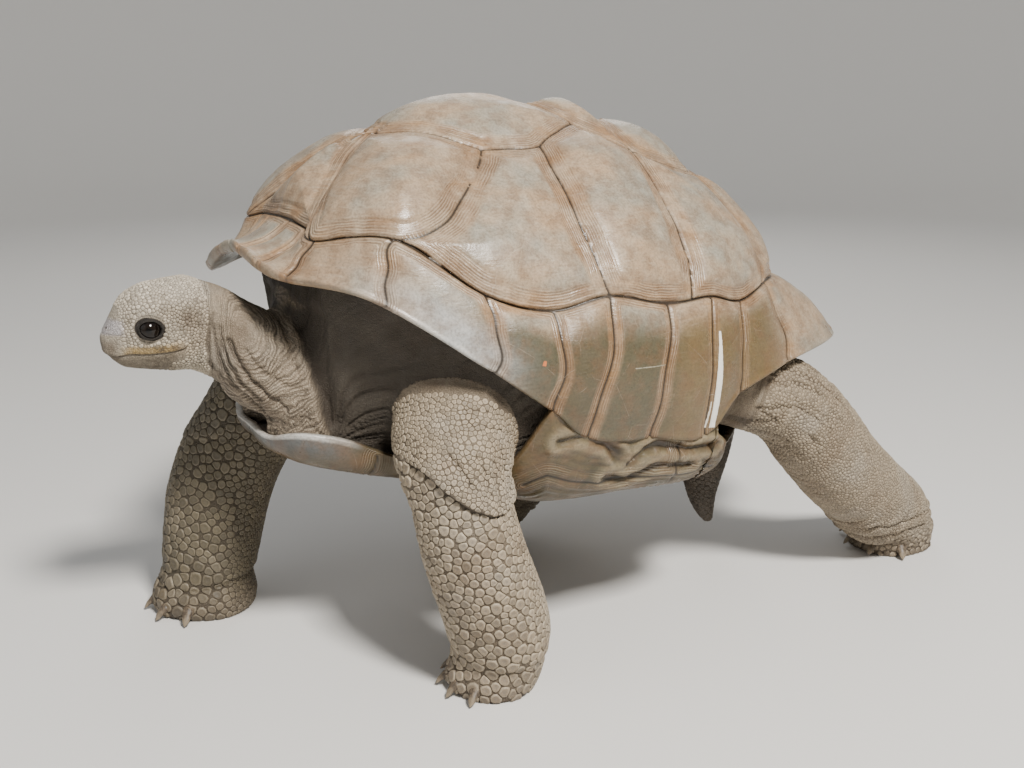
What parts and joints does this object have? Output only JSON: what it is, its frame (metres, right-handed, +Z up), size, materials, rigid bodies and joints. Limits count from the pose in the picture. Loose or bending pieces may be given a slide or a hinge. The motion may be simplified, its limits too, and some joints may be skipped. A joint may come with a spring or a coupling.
{
  "type": "giant tortoise",
  "caption": "Life-size model of an adult giant tortoise caught walking, high on its legs, with a broad domed shell.",
  "frame": {"origin": "middle of the whole animal's footprint, on the floor", "axes": "+Z up, -Y the way the head points, +X the animal's left side"},
  "size_m": [0.7782, 1.6086, 0.9291],
  "materials": {
    "shell": "satin horn scutes with growth rings",
    "underside": "worn matt horn",
    "skin": "dry wrinkled skin with horny scales",
    "beak": "satin horn",
    "claw": "satin dark horn",
    "eye": "wet gloss"
  },
  "bodies": {
    "root": {"carapace": "shell", "plastron": "underside", "trunk": "skin", "neck": "skin", "head": "skin", "jaw": "beak", "tail": "skin", "eye_l": "eye", "eye_r": "eye", "leg_fl": "skin", "claw_fl_1": "claw", "claw_fl_2": "claw", "claw_fl_3": "claw", "claw_fl_4": "claw", "claw_fl_5": "claw", "leg_fr": "skin", "claw_fr_1": "claw", "claw_fr_2": "claw", "claw_fr_3": "claw", "claw_fr_4": "claw", "claw_fr_5": "claw", "leg_hl": "skin", "claw_hl_1": "claw", "claw_hl_2": "claw", "claw_hl_3": "claw", "claw_hl_4": "claw", "leg_hr": "skin", "claw_hr_1": "claw", "claw_hr_2": "claw", "claw_hr_3": "claw", "claw_hr_4": "claw"}
  },
  "joints": []
}
